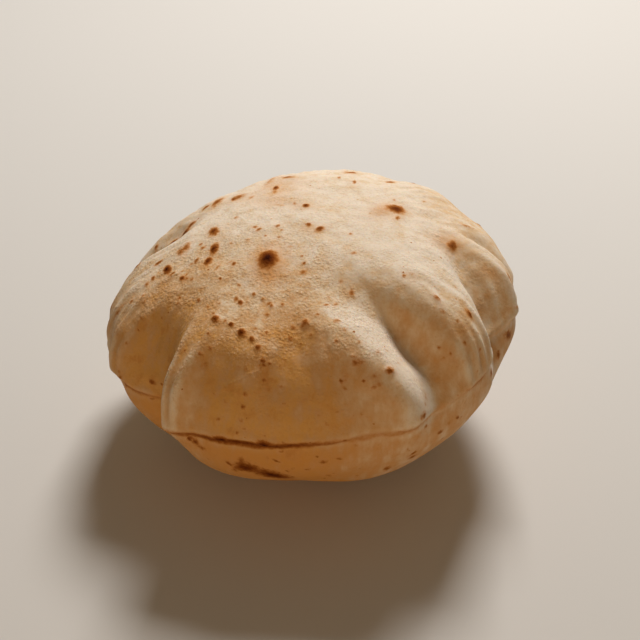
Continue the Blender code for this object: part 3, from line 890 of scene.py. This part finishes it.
def bread_piece(form):
    """The whole bread as one closed skin, with marks that its finish reads."""
    ball = blown_cube(form.cells)
    mesh = bpy.data.meshes.new("puffed_bread")
    ball.to_mesh(mesh)
    ball.free()
    spots = np.empty(len(mesh.vertices) * 3)
    mesh.vertices.foreach_get("co", spots)
    spots = np.tan(spots.reshape(-1, 3) * math.pi / 4.0)
    spots /= np.linalg.norm(spots, axis=1)[:, None]
    azimuth = np.arctan2(spots[:, 1], spots[:, 0])
    climb = climb_of(np.arcsin(np.clip(spots[:, 2], -1.0, 1.0)) / (math.pi / 2.0))
    points, marks = skin_shape(azimuth, climb, form)
    mesh.vertices.foreach_set("co", points.ravel())
    mesh.update()
    mesh.shade_smooth()
    edges, normals = mesh_edges(mesh), mesh_normals(mesh)
    ridge = ridge_marks(points, normals, edges)
    facing_fire_and_shade = fire_and_shade_marks(azimuth, climb, normals, edges, form)
    marks["flour"] = flour_marks(azimuth, climb, ridge, facing_fire_and_shade, points)
    marks["baked"] = baked_and_shade_marks(azimuth, climb, ridge, facing_fire_and_shade, points)
    marks["stain"] = stain_marks(azimuth)
    for name in MARKS:
        mark = mesh.attributes.new(name, "FLOAT", "POINT")
        mark.data.foreach_set("value", marks[name])
    piece = bpy.data.objects.new("puffed_bread", mesh)
    bpy.context.scene.collection.objects.link(piece)
    return piece


# Materials
def add_node(tree, kind, inputs=(), **settings):
    """Add a node with its settings, and fill its inputs, in order or by name, with values or nodes."""
    node = tree.nodes.new(kind)
    for name, value in settings.items():
        setattr(node, name, value)
    ready = [socket for socket in node.inputs if socket.enabled]
    for key, value in inputs.items() if isinstance(inputs, dict) else enumerate(inputs):
        socket = node.inputs[key] if isinstance(key, str) else ready[key]
        if isinstance(value, bpy.types.Node):
            value = next(output for output in value.outputs if output.enabled)
        if isinstance(value, bpy.types.NodeSocket):
            tree.links.new(value, socket)
        else:
            socket.default_value = value
    return node


def set_stops(ramp, stops):
    """Give a colour ramp its stops."""
    for place, shade in stops[2:]:
        ramp.elements.new(place)
    for element, (place, shade) in zip(ramp.elements, stops):
        element.position = place
        element.color = shade


# Kinds of node that the crust is built from, and the setting for a soft range
MATHS, MIX, SCALE = "ShaderNodeMath", "ShaderNodeMix", "ShaderNodeMapRange"
SOFT = {"interpolation_type": "SMOOTHSTEP"}


def crust_patterns(tree):
    """The marks on the mesh and the patterns that the crust is made from, by name."""
    place = add_node(tree, "ShaderNodeTexCoord").outputs["Object"]
    drawn = add_node(tree, "ShaderNodeMapping", {"Vector": place, "Scale": SMEAR_DRAW})
    found = {}
    for name in MARKS:
        found[name] = add_node(tree, "ShaderNodeAttribute", attribute_name=name).outputs["Fac"]
    for name, (size, detail, rough) in PATTERNS.items():
        vector = drawn if name == "smear" else place
        kind = "RIDGED_MULTIFRACTAL" if name == "crinkle" else "FBM"
        inputs = {"Vector": vector, "Scale": 1.0 / size, "Detail": detail, "Roughness": rough}
        found[name] = add_node(tree, "ShaderNodeTexNoise", inputs, noise_type=kind)
    found["sand"] = add_node(tree, "ShaderNodeTexVoronoi", {"Vector": place, "Scale": 1.0 / SAND_SIZE},
                             feature="SMOOTH_F1").outputs["Distance"]
    cells = add_node(tree, "ShaderNodeTexVoronoi", {"Vector": place, "Scale": 1.0 / CELL_SIZE})
    found["speck"] = cells.outputs["Distance"]
    found["pick"] = add_node(tree, "ShaderNodeSeparateColor", (cells.outputs["Color"],))
    return found


def crust_heat(tree, found):
    """Heat from 0 to 1: blisters, specks, the seam's toasted line, the underside and a tan blush."""
    wobble = add_node(tree, MATHS, (found["edge"], PATTERN_MIDDLE), operation="SUBTRACT")
    patchy = add_node(tree, MATHS, (found["patch"], PATTERN_MIDDLE), operation="SUBTRACT")
    ragged = add_node(tree, MATHS, (wobble, BLISTER_RAGGED, found["burnt"]), operation="MULTIPLY_ADD")
    ragged = add_node(tree, MATHS, (patchy, BLISTER_PATCHY, ragged), operation="MULTIPLY_ADD")
    near = add_node(tree, SCALE, (found["burnt"], *BLISTER_FADE), **SOFT)
    blister = add_node(tree, MATHS, (ragged, near), operation="MULTIPLY")

    dot = add_node(tree, MATHS, (wobble, SPECK_RAGGED, found["speck"]), operation="MULTIPLY_ADD")
    dot = add_node(tree, SCALE, (dot, *SPECK_RIM), **SOFT)
    chosen = add_node(tree, SCALE, (found["pick"].outputs[0], *SPECK_CELLS), **SOFT)
    strength = add_node(tree, SCALE, (found["pick"].outputs[1], 0.0, 1.0, *SPECK_HEAT))
    dot = add_node(tree, MATHS, (dot, chosen), operation="MULTIPLY")
    dot = add_node(tree, MATHS, (dot, strength), operation="MULTIPLY")

    line = add_node(tree, MATHS, (patchy, LINE_WANDER, found["way"]), operation="MULTIPLY_ADD")
    line = add_node(tree, MATHS, (line, LINE_MIDDLE), operation="SUBTRACT")
    line = add_node(tree, MATHS, (line,), operation="ABSOLUTE")
    line = add_node(tree, SCALE, (line, *LINE_EDGES), **SOFT)
    line = add_node(tree, MATHS, (line, found["stain"]), operation="MULTIPLY")
    line = add_node(tree, MATHS, (line, LINE_HEAT), operation="MULTIPLY")
    line = add_node(tree, MATHS, (wobble, line, line), operation="MULTIPLY_ADD")

    under = add_node(tree, SCALE, (found["patch"], *UNDER_PATCHES), **SOFT)
    low = add_node(tree, SCALE, (found["climb"], *UNDER_CLIMBS, 0.0, UNDER_HEAT), **SOFT)
    under = add_node(tree, MATHS, (under, low), operation="MULTIPLY")

    blush = add_node(tree, MATHS, (found["patch"], found["smear"]), operation="ADD")
    blush = add_node(tree, SCALE, (blush, *BLUSH_PATCHES, 0.0, BLUSH_HEAT), **SOFT)
    blush = add_node(tree, MATHS, (blush, found["baked"]), operation="MULTIPLY")

    heat = blister
    for part in (dot, line, blush, under):
        heat = add_node(tree, MATHS, (heat, part), operation="MAXIMUM")
    return heat


def crust_colour(tree, found, heat, look):
    """Pale dough that turns tan and gold, with flour, grit, glow and scorch over it."""
    # The baking mark, partly painted shade, sets where the dough is pale and where it is gold
    bake = found["baked"]
    for name, strength in BAKED_BY:
        varied = add_node(tree, MATHS, (found[name], PATTERN_MIDDLE), operation="SUBTRACT")
        bake = add_node(tree, MATHS, (varied, strength, bake), operation="MULTIPLY_ADD")
    dough = add_node(tree, "ShaderNodeValToRGB", (bake,))
    set_stops(dough.color_ramp, DOUGH)

    below = add_node(tree, SCALE, (found["way"], *LOWER_WAY, 0.0, LOWER_SHARE), **SOFT)
    below = add_node(tree, MATHS, (below, bake), operation="MULTIPLY", use_clamp=True)
    base = add_node(tree, MIX, (below, dough, look.under), data_type="RGBA")

    dust = add_node(tree, SCALE, (found["grain"], *DUST_GRAINS), **SOFT)
    share = add_node(tree, SCALE, (found["flour"], 0.0, 1.0, 0.0, DUST_SHARE))
    dust = add_node(tree, MATHS, (dust, share), operation="MULTIPLY")
    base = add_node(tree, MIX, (dust, base, look.flour), data_type="RGBA")

    grit = add_node(tree, SCALE, (found["grain"], *GRIT_GRAINS), **SOFT)
    share = add_node(tree, SCALE, (found["flour"], *GRIT_SANDY, *GRIT_SHARE))
    grit = add_node(tree, MATHS, (grit, share), operation="MULTIPLY")
    base = add_node(tree, MIX, (grit, base, look.grit), data_type="RGBA")

    halo = add_node(tree, SCALE, (found["patch"], *GLOW_PATCHES, *GLOW_SHARE))
    halo = add_node(tree, MATHS, (halo, found["glow"]), operation="MULTIPLY")
    base = add_node(tree, MIX, (halo, base, look.glow), data_type="RGBA")

    scorch = add_node(tree, "ShaderNodeValToRGB", (heat,))
    set_stops(scorch.color_ramp, SCORCH)
    share = add_node(tree, SCALE, (heat, *SCORCH_START), **SOFT)
    return add_node(tree, MIX, (share, base, scorch), data_type="RGBA")


def crust_relief(tree, found, heat):
    """Height of the sandy grain, the soft lumps, the pimples and the cracked char, in metres."""
    patches = add_node(tree, SCALE, (found["patch"], *UNEVEN_PATCHES, *UNEVEN_SHARE), **SOFT)
    depth = add_node(tree, SCALE, (found["flour"], *SANDY_RELIEF, *SAND_DEPTH))
    sand = add_node(tree, MATHS, (found["sand"], -1.0), operation="MULTIPLY")
    sand = add_node(tree, MATHS, (found["grain"], SAND_ROUGH, sand), operation="MULTIPLY_ADD")
    sand = add_node(tree, MATHS, (sand, depth), operation="MULTIPLY")
    sand = add_node(tree, MATHS, (sand, patches), operation="MULTIPLY")

    depth = add_node(tree, SCALE, (found["flour"], *SANDY_RELIEF, *LUMP_DEPTH))
    lumps = add_node(tree, MATHS, (found["lump"], depth), operation="MULTIPLY")
    lumps = add_node(tree, MATHS, (lumps, patches), operation="MULTIPLY")

    depth = add_node(tree, SCALE, (found["flour"], 0.0, 1.0, *STROKE_DEPTH))
    strokes = add_node(tree, MATHS, (found["crinkle"], depth), operation="MULTIPLY")

    pimple = add_node(tree, SCALE, (found["speck"], *PIMPLE_RIM), **SOFT)
    chosen = add_node(tree, SCALE, (found["pick"].outputs[2], *PIMPLE_CELLS), **SOFT)
    pimple = add_node(tree, MATHS, (pimple, chosen), operation="MULTIPLY")
    depth = add_node(tree, SCALE, (found["flour"], *PIMPLE_SANDY, 0.0, PIMPLE_HEIGHT))
    pimple = add_node(tree, MATHS, (pimple, depth), operation="MULTIPLY")

    cracked = add_node(tree, SCALE, (heat, *CHAR_HEAT, 0.0, CHAR_DEPTH))
    cracked = add_node(tree, MATHS, (cracked, found["grain"]), operation="MULTIPLY")

    height = sand
    for part in (lumps, strokes, pimple, cracked):
        height = add_node(tree, MATHS, (height, part), operation="ADD")
    return height


def crust_finish(look):
    """Wheat dough baked fast on a hot floor: dry, floury and matt, with toasted blisters."""
    material = bpy.data.materials.new("baked_wheat_dough")
    material.use_nodes = True
    tree = material.node_tree
    shader = tree.nodes["Principled BSDF"]
    found = crust_patterns(tree)
    heat = crust_heat(tree, found)
    colour = crust_colour(tree, found, heat, look)
    height = crust_relief(tree, found, heat)
    bump = add_node(tree, "ShaderNodeBump", {"Height": height, "Distance": 1.0, "Strength": 1.0})
    rough = add_node(tree, SCALE, (found["flour"], 0.0, 1.0, *DOUGH_ROUGHNESS))
    tree.links.new(colour.outputs[2], shader.inputs["Base Color"])
    tree.links.new(bump.outputs[0], shader.inputs["Normal"])
    tree.links.new(rough.outputs[0], shader.inputs["Roughness"])
    shader.inputs["Specular IOR Level"].default_value = DOUGH_SHINE
    shader.inputs["Subsurface Weight"].default_value = DOUGH_DEPTH_SHARE
    shader.inputs["Subsurface Radius"].default_value = DOUGH_DEPTH_COLOURS
    shader.inputs["Subsurface Scale"].default_value = DOUGH_DEPTH
    return material


class FLATBREAD_OT_bread(Operator):
    """Shape the puffed bread and give it its crust"""

    bl_idname = "flatbread.bread"
    bl_label = "Puffed bread"

    def execute(self, context):
        scene = context.scene
        piece = bread_piece(scene.bread_form)
        piece.data.materials.append(crust_finish(scene.crust_look))
        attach(piece, "root")
        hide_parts("flatbread")
        return {"FINISHED"}


def around(azimuth, elevation, distance):
    """A place seen from the origin at an azimuth and elevation in degrees."""
    turn, rise = math.radians(azimuth), math.radians(elevation)
    flat = distance * math.cos(rise)
    return Vector((flat * math.cos(turn), flat * math.sin(turn), distance * math.sin(rise)))


def area_light(name, power, size, place, target, colour):
    """A soft square lamp that faces the bread."""
    lamp = bpy.data.lights.new(name, "AREA")
    lamp.energy = power
    lamp.size = size
    lamp.color = colour
    holder = bpy.data.objects.new(name, lamp)
    holder.location = target + around(*place)
    holder.rotation_euler = (holder.location - target).to_track_quat("Z", "Y").to_euler()
    bpy.context.scene.collection.objects.link(holder)


def floor_finish(colour):
    """Matt plaster, trowelled flat: even and without shine."""
    material = bpy.data.materials.new("matt_plaster")
    material.use_nodes = True
    shader = material.node_tree.nodes["Principled BSDF"]
    shader.inputs["Base Color"].default_value = colour
    shader.inputs["Roughness"].default_value = PLASTER_ROUGHNESS
    return material


class FLATBREAD_OT_stage(Operator):
    """Lay the floor and set the lights and the camera"""

    bl_idname = "flatbread.stage"
    bl_label = "Stage"

    def execute(self, context):
        scene = context.scene
        look = scene.stage_look
        form = scene.bread_form
        centre = Vector((*SEAM_CENTRE, form.rest_drop))

        ground = bmesh.new()
        bmesh.ops.create_grid(ground, x_segments=1, y_segments=1, size=FLOOR_REACH)
        mesh = bpy.data.meshes.new("floor")
        ground.to_mesh(mesh)
        ground.free()
        floor = bpy.data.objects.new("floor", mesh)
        mesh.materials.append(floor_finish(look.floor))
        scene.collection.objects.link(floor)

        area_light("key", look.key, KEY_SIZE, KEY_PLACE, centre, KEY_COLOUR)
        area_light("bounce", look.bounce, BOUNCE_SIZE, BOUNCE_PLACE, centre, BOUNCE_COLOUR)

        world = bpy.data.worlds.new("room")
        world.use_nodes = True
        background = world.node_tree.nodes["Background"]
        background.inputs["Color"].default_value = ROOM_COLOUR
        background.inputs["Strength"].default_value = look.room
        scene.world = world
        scene.view_settings.view_transform = "Standard"

        camera = bpy.data.cameras.new("camera")
        camera.sensor_width = SENSOR_WIDTH
        camera.lens = FOCAL_LENGTH
        camera.shift_x, camera.shift_y = CAMERA_SHIFT
        holder = bpy.data.objects.new("camera", camera)
        rise = look.elevation
        away = Vector((0.0, -math.cos(rise), math.sin(rise)))
        holder.location = centre + away * look.distance
        holder.rotation_euler = (math.pi / 2.0 - rise, 0.0, 0.0)
        scene.collection.objects.link(holder)
        scene.camera = holder
        return {"FINISHED"}


class FLATBREAD_PT_panel(Panel):
    """Sizes, colours and steps of the puffed flatbread"""

    bl_label = "Flatbread"
    bl_idname = "FLATBREAD_PT_panel"
    bl_space_type = "VIEW_3D"
    bl_region_type = "UI"
    bl_category = "Flatbread"

    def draw(self, context):
        layout = self.layout
        for group in (context.scene.bread_form, context.scene.crust_look, context.scene.stage_look):
            box = layout.box()
            for name in group.__annotations__:
                box.prop(group, name)
        for step in (FLATBREAD_OT_bread, FLATBREAD_OT_stage):
            layout.operator(step.bl_idname)


CLASSES = (BreadForm, CrustLook, StageLook, FLATBREAD_OT_bread, FLATBREAD_OT_stage, FLATBREAD_PT_panel)


def register():
    """Add the classes, and the sizes and colours of the scene."""
    for one in CLASSES:
        bpy.utils.register_class(one)
    bpy.types.Scene.bread_form = PointerProperty(type=BreadForm)
    bpy.types.Scene.crust_look = PointerProperty(type=CrustLook)
    bpy.types.Scene.stage_look = PointerProperty(type=StageLook)


def unregister():
    """Take out what register added."""
    del bpy.types.Scene.stage_look
    del bpy.types.Scene.crust_look
    del bpy.types.Scene.bread_form
    for one in reversed(CLASSES):
        bpy.utils.unregister_class(one)


def main():
    """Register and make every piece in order."""
    register()
    bpy.ops.flatbread.bread()
    bpy.ops.flatbread.stage()


if __name__ == "__main__":
    main()
